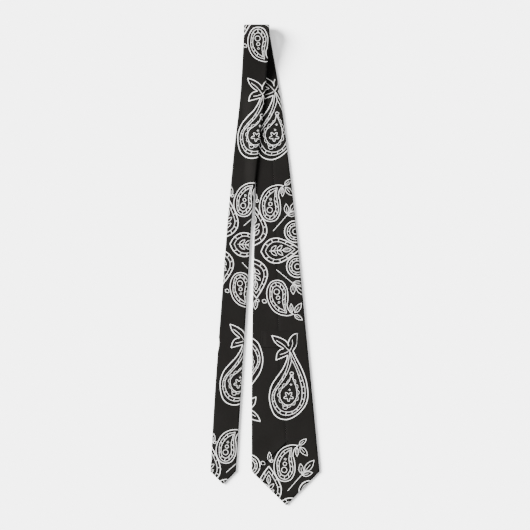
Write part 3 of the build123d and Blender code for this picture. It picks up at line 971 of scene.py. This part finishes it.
keeper_corners = [(KEEPER_LOW.x, KEEPER_LOW.y), (KEEPER_HIGH.x, KEEPER_LOW.y),
                  (KEEPER_HIGH.x, KEEPER_HIGH.y), (KEEPER_LOW.x, KEEPER_HIGH.y)]
keeper_lines = []
for inset in (0.08, 0.25, 0.6, 1.6):
    x0, x1 = KEEPER_LOW.x + inset, KEEPER_HIGH.x - inset
    y0, y1 = KEEPER_LOW.y + inset, KEEPER_HIGH.y - inset
    keeper_lines.append([(x0, y0), (x1, y0), (x1, y1), (x0, y1), (x0, y0)])
for share in np.arange(1, 26) / 26:
    x = KEEPER_LOW.x + share * 2 * keeper_half.x
    rows = KEEPER_LOW.y + 1.6 + np.arange(0, 11) / 10 * (2 * keeper_half.y - 3.2)
    keeper_lines.append([(x, y) for y in rows])
keeper_panel = Panel()
for way in (1, -1):
    keeper_panel.add(keeper_corners, keeper_face(way), keeper_lines, (), wide_ink, outward_up=(way > 0))
keeper = keeper_panel.piece("keeper_strip", CLOTH, "printed_cloth")
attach(keeper, "wide_tip")
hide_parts("keeper_loop")

keeper_threads = []
for end in (-1, 1):
    x = keeper_mid.x + end * (keeper_half.x - KEEPER_END / 2)
    for k in range(7):
        y = keeper_mid.y + keeper_half.y * (k - 3) / 3.6
        keeper_threads.append(along_surface(
            keeper_face(1), [(x, y - 1.4), (x, y), (x, y + 1.4)], 0.12))
keeper_thread = sewn("keeper_thread", keeper_threads)
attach(keeper_thread, "wide_tip")
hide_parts("keeper_end_stitches")

# ----------------------------------------------------------------------------------------
# Wide seam thread and bar tack
# One long loose thread slip-stitches the two turned edges together down the back. At the
# head of the V a bar tack, several passes of thread side by side, takes the strain.
# ----------------------------------------------------------------------------------------
STITCH = 6.0
TACK_HALF = 3.0
TACK_PASSES = 8


def slip_threads(seam, surface, low, high):
    """The stitches of a centre seam that show between its edges."""
    threads = []
    for k in range(int((high - low - STITCH) / STITCH_EVERY) + 1):
        top = high - k * STITCH_EVERY
        places = [(float(seam(top - STITCH * s)) + off, top - STITCH * s)
                  for s, off in ((0, -0.3), (0.3, 0.15), (0.7, -0.15), (1, 0.3))]
        threads.append(along_surface(surface, places, 0.0))
    return threads


def tack_threads(x, y, surface):
    """Passes of thread side by side across the head of the V."""
    return [along_surface(surface, [(x - TACK_HALF, y + 0.28 * k), (x, y + 0.28 * k + 0.05 * (-1) ** k),
                                    (x + TACK_HALF, y + 0.28 * k)], 0.15) for k in range(TACK_PASSES)]


wide_seam_thread = sewn("wide_seam_thread", slip_threads(seam_across, wide_back, WIDE_V[1] + 14, 268.0))
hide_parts("slip_stitches_wide_neck_half", "slip_stitches_wide_tip_half")
doubles_up(wide_seam_thread, "wide")


def above_v(across, along):
    return wide.place(across, along, np.full_like(across, -(THICK / 2 + 0.05)))


wide_tack = sewn("wide_tack_thread", tack_threads(WIDE_V[0], WIDE_V[1] + 1.5, above_v))
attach(wide_tack, "wide_tip")
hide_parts("wide_bar_tack")

# ----------------------------------------------------------------------------------------
# Narrow envelope
# The outer cloth of the neck and the narrow blade, a second length of the same print, sewn
# to the first on a diagonal. It goes once round the neck fold, runs down over the wide
# blade and off its left edge, and lies front up. It is made in runs that meet edge to edge.
# ----------------------------------------------------------------------------------------
FOLD_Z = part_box("narrow_envelope_slope_run")[1][2] / MM / 2
FOLD_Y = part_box("narrow_envelope_fold_run")[1][1] / MM - FOLD_Z
MID_R = FOLD_Z - THICK / 2
SLOPE = radians(10)
FOLD_FOOT = FOLD_Y - MID_R * sin(SLOPE)     # along the blade, where the fold begins
FOLD_HEAD = FOLD_FOOT + MID_R * (pi + SLOPE)
QUARTER = FOLD_FOOT + MID_R * (pi / 2 + SLOPE)
ON_TOP = THICK + 0.3
SETTLE_Y = FOLD_FOOT - (FOLD_Z + MID_R * cos(SLOPE) - ON_TOP - THICK / 2) / (sin(SLOPE) / cos(SLOPE))
OVERHANG = 18.0             # off the wide blade's edge it comes down within this
LEAD_Y, MIDDLE_Y, TIP_Y = 300.0, 215.0, 20.0
NARROW_STATIONS = [
    (-306.0, -62.0, 19.0),
    (-200.0, -55.7, 19.4),
    (-42.0, -45.0, 18.6),
    (84.0, -36.1, 17.8),
    (165.0, -28.0, 18.4),
    (254.0, -18.3, 18.3),
    (FOLD_FOOT, FOLD_MID_X, FOLD_HALF),
]
NARROW_TIP = (-62.1, -325.2)
NARROW_V = (-60.6, -292.0)


class FoldedBlade(Blade):
    """The narrow blade: its plan runs on round the neck fold and down to the join."""

    def side(self, along, which):
        along = np.asarray(along, float)
        own = super().side(along, which)
        back_down = wide.side(FOLD_Y - (along - FOLD_HEAD), which)
        round_fold = FOLD_MID_X + which * FOLD_HALF
        return np.where(along > FOLD_HEAD, back_down, np.where(along > FOLD_FOOT, round_fold, own))


def drape(across, along):
    """Height of the narrow leg's back face: down from the fold, over the wide blade, then off it."""
    past = along - SETTLE_Y
    rise = sin(SLOPE) / cos(SLOPE) * (past + np.sqrt(past * past + 64)) / 2
    wide_edge = wide.side(along, -1)
    held = soft_step(across, wide_edge - OVERHANG, wide_edge - 0.5)
    held = 1 - (1 - held) * soft_step(along, LEAD_Y, MIDDLE_Y)
    return rise + ON_TOP * held * soft_step(along, 26, 126)


def narrow_middle(across, along):
    """The narrow blade's middle face, from the join round the fold to the tip."""
    turn = np.clip(pi + SLOPE - (along - FOLD_FOOT) / MID_R, 0, pi + SLOPE)
    leg = np.minimum(along, FOLD_FOOT)
    y = np.where(along > FOLD_FOOT, FOLD_Y + MID_R * np.sin(turn), leg)
    y = np.where(along > FOLD_HEAD, FOLD_Y - (along - FOLD_HEAD), y)
    z = np.where(along > FOLD_FOOT, FOLD_Z - MID_R * np.cos(turn), drape(across, leg) + THICK / 2)
    return np.stack([across, y, z], axis=1)


narrow = FoldedBlade(NARROW_STATIONS, NARROW_TIP, narrow_middle, front_up=True)
narrow.tight = (FOLD_FOOT, FOLD_HEAD)


SLOPE_SHORTENS = 0.034      # share by which the print closes up on the slope to the fold


def narrow_print(places):
    """The same print on the narrow blade, which is cut at a slightly different slant."""
    turn, size = radians(-7.3), 0.95
    c, s = cos(turn), sin(turn)
    places = (places - (12.5, 189.8)) @ np.array(((c, s), (-s, c))) * size + (-14.0, 189.5)
    across, along = places.T
    return np.stack([across, along - SLOPE_SHORTENS * np.clip(along - SETTLE_Y, 0, None)], axis=1)


def narrow_seam(along):
    return (narrow.side(along, -1) + narrow.side(along, 1)) / 2


def narrow_front(across, along):
    return narrow.place(across, along, face_depth(narrow, across, along, 0.8))


def narrow_back(across, along):
    dip = seam_dip(across - narrow_seam(along), along) * (along > NARROW_V[1] - 4)
    return narrow.place(across, along, -open_back(narrow, NARROW_V, across, along, (0.2, 0.1), dip))


def narrow_run(name, low, high, high_right=None):
    """One run of the narrow envelope, front and back."""
    top = max(high, high_right or high)
    strokes = inked(low if low is not None else NARROW_TIP[1], top, narrow_print, 0.95)
    strokes = [stroke for stroke in strokes if stroke[0][:, 1].min() < FOLD_HEAD + 6]
    outline = narrow.outline(low, high, 4.0, high_right=high_right)
    lines = narrow.guides(low, top, 4.0, EDGE_LINES, np.arange(1, 9) / 9)
    rows = narrow.rows(low if low is not None else NARROW_V[1] - 2, top, 2.5)
    seam = [[(float(narrow_seam(a)) + off, float(a)) for a in rows]
            for off in (-2.6, -1.5, -0.8, -0.4, 0.4, 0.8, 1.5, 2.6)]
    holes = [slit(narrow_seam, NARROW_V[1] + 2 if low is None else low + 1, min(high, top) - 1)]
    if low is None:
        holes.append(opening(narrow, NARROW_V))
    panel = Panel()
    panel.add(outline, narrow_front, lines, (), strokes, outward_up=True)
    panel.add(outline, narrow_back, lines + seam, holes, strokes, outward_up=False)
    return panel.piece(name, CLOTH, "printed_cloth")


def at_neck(piece):
    """For a run at the lower half of the neck fold: bakes its placement into its mesh."""
    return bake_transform(piece, "wide_leg", "neck_fold",
                    at(FOLD_MID_X, FOLD_Y, THICK), at(FOLD_MID_X, FOLD_Y, FOLD_Z))


def over_neck(piece):
    """For a run at the upper half of the neck fold: bakes its placement into its mesh."""
    turn = radians(140)
    pin = (FOLD_Y + FOLD_Z * sin(turn), FOLD_Z - FOLD_Z * cos(turn))
    way = (cos(turn), sin(turn))
    reach = 6.1
    start, end = ((pin[0] + s * way[0], pin[1] + s * way[1]) for s in (-reach, reach))
    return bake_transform(piece, "neck_fold", "neck_slope", at(FOLD_MID_X, *start), at(FOLD_MID_X, *end))


def as_it_settles(piece):
    """For a run where the slope comes down on the wide blade: bakes its placement into its mesh."""
    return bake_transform(piece, "neck_slope", "narrow_lead",
                    at(FOLD_MID_X, LEAD_Y - 10, 0), at(FOLD_MID_X, MIDDLE_Y + 3, 0))


def as_it_swings(piece):
    """For a run where the leg swings over the wide blade's edge: bakes its placement into its mesh."""
    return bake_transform(piece, "narrow_lead", "narrow_leg",
                    at(FOLD_MID_X, MIDDLE_Y - 1, 0), at(FOLD_MID_X, 116, 0))


def join_along(which):
    """Where the diagonal join meets a long edge, along the narrow blade's own plan."""
    return FOLD_HEAD + FOLD_Y - slanted_top(wide, which)


join_run = at_neck(narrow_run("neck_envelope_to_join", QUARTER, join_along(-1), join_along(1)))
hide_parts("narrow_envelope_join_run")
fold_run = over_neck(narrow_run("neck_envelope_over_fold", LEAD_Y, QUARTER))
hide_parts("narrow_envelope_fold_run", "narrow_envelope_slope_run")
lead_run = as_it_settles(narrow_run("narrow_envelope_lead", MIDDLE_Y, LEAD_Y))
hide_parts("narrow_envelope_upper_run")
middle_run = as_it_swings(narrow_run("narrow_envelope_middle", TIP_Y, MIDDLE_Y))
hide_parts("narrow_envelope_middle_run")
tip_run = narrow_run("narrow_envelope_tip", None, TIP_Y)
doubles_up(tip_run, "narrow")
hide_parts("narrow_envelope_tip_half")

# ----------------------------------------------------------------------------------------
# Narrow interlining
# The felt goes on through the neck and down the narrow blade, in the same runs as its
# envelope. It is sewn to the wide blade's felt on a square join under the neck.
# ----------------------------------------------------------------------------------------
for run, low, high, bend, nodes, flat, held, cover in (
    ("neck_interlining_to_join", QUARTER, FOLD_HEAD + FOLD_Y - CORE_JOIN_Y, at_neck,
     ["narrow_interlining_join_run"], (0.040, 0.091), "laid", "neck_envelope_to_join"),
    ("neck_interlining_over_fold", LEAD_Y, QUARTER, over_neck,
     ["narrow_interlining_fold_run", "narrow_interlining_slope_run"], (0.038, 0.061), "folded",
     "neck_envelope_over_fold"),
    ("narrow_interlining_lead", MIDDLE_Y, LEAD_Y, as_it_settles,
     ["narrow_interlining_upper_run"], (0.038, 0.085), "laid", "narrow_envelope_lead"),
    ("narrow_interlining_middle", TIP_Y, MIDDLE_Y, as_it_swings,
     ["narrow_interlining_middle_run"], (0.037, 0.195), "laid", "narrow_envelope_middle"),
):
    core = bend(core_run(narrow, run, low, high, step=4.0))
    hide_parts(*nodes)
core = core_run(narrow, "narrow_interlining_tip", None, TIP_Y)
doubles_up(core, "narrow")
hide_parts("narrow_interlining_tip_half")

# ----------------------------------------------------------------------------------------
# Narrow lining, seam thread, hem and bar tack
# The narrow tip is finished as the wide one is: a printed panel under two flaps, a slip
# stitched seam and a bar tack, all on the side that faces down here.
# ----------------------------------------------------------------------------------------
narrow_ink = inked(NARROW_TIP[1], NARROW_V[1] + 10, narrow_print, 0.95)
narrow_lining = lining(narrow, NARROW_V, "narrow_tip_lining", narrow_ink)
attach(narrow_lining, "narrow_tip")
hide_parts("narrow_tipping")


def under_hem(across, along):
    return narrow.place(across, along, np.full_like(across, -(LINING_DEPTH + 0.18)))


narrow_hem = sewn("narrow_hem_thread", hem_threads(narrow, NARROW_V, under_hem, -0.25))
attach(narrow_hem, "narrow_tip")
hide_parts("narrow_hem_stitches")


def under_v(across, along):
    return narrow.place(across, along, np.full_like(across, -THICK / 2 + 0.4))


narrow_tack = sewn("narrow_tack_thread", tack_threads(NARROW_V[0], NARROW_V[1] + 1.5, under_v))
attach(narrow_tack, "narrow_tip")
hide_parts("narrow_bar_tack")
for run, low, high, bend, node in (
    ("neck_seam_thread", LEAD_Y + 2, 338.0, over_neck, "slip_stitches_slope_run"),
    ("lead_seam_thread", MIDDLE_Y + 2, LEAD_Y - 3, as_it_settles, "slip_stitches_upper_run"),
    ("middle_seam_thread", TIP_Y + 2, MIDDLE_Y - 3, as_it_swings, "slip_stitches_middle_run"),
):
    threads = bend(sewn(run, slip_threads(narrow_seam, narrow_back, low, high)))
    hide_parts(node)
threads = sewn("tip_seam_thread", slip_threads(narrow_seam, narrow_back, NARROW_V[1] + 8, TIP_Y - 3))
doubles_up(threads, "narrow")
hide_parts("slip_stitches_narrow_tip_half")

# ----------------------------------------------------------------------------------------
# Join stitches
# Machine stitches in the same black thread hold the two envelope pieces on their diagonal
# and the two felts on their square join, out of sight under the neck.
# ----------------------------------------------------------------------------------------
for node in ("envelope_join_stitches", "interlining_join_stitches"):
    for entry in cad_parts[node].material_slots:
        entry.material = THREAD

# ----------------------------------------------------------------------------------------
# Floor, light and camera
# A pale even table, one broad soft light from the upper left and a bright room.
# ----------------------------------------------------------------------------------------
FRAME_WIDTH = 0.786
LENS = 400.0
SENSOR = 36.0
FLOOR_BELOW = -0.0004
WINDOW_POWER = 27.0
WINDOW_WIDTH = radians(30)
WINDOW_FROM = (-0.92, 0.32, 0.60)
ROOM_LIGHT = 1.35
bpy.ops.mesh.primitive_plane_add(size=12, location=(0, 0, FLOOR_BELOW))
floor = bpy.context.object
floor.name = "floor"
paper = Finish("pale_table", Roughness=0.9, Base_Color=(0.94, 0.94, 0.94, 1))
floor.data.materials.append(paper.material)
floor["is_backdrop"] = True
sun = bpy.data.lights.new("window", "SUN")
sun.energy = WINDOW_POWER
sun.angle = WINDOW_WIDTH
lamp = bpy.data.objects.new("window", sun)
lamp.rotation_euler = Vector(WINDOW_FROM).to_track_quat("Z", "Y").to_euler()
bpy.context.scene.collection.objects.link(lamp)
world = bpy.data.worlds.new("room")
world.use_nodes = True
world.node_tree.nodes["Background"].inputs[0].default_value = (1, 1, 1, 1)
world.node_tree.nodes["Background"].inputs[1].default_value = ROOM_LIGHT
bpy.context.scene.world = world
lens = bpy.data.cameras.new("camera")
lens.lens, lens.sensor_width = LENS, SENSOR
lens.clip_end = 20
camera = bpy.data.objects.new("camera", lens)
camera.location = (0, 0, FRAME_WIDTH * LENS / SENSOR)
bpy.context.scene.collection.objects.link(camera)
bpy.context.scene.camera = camera

low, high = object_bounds()
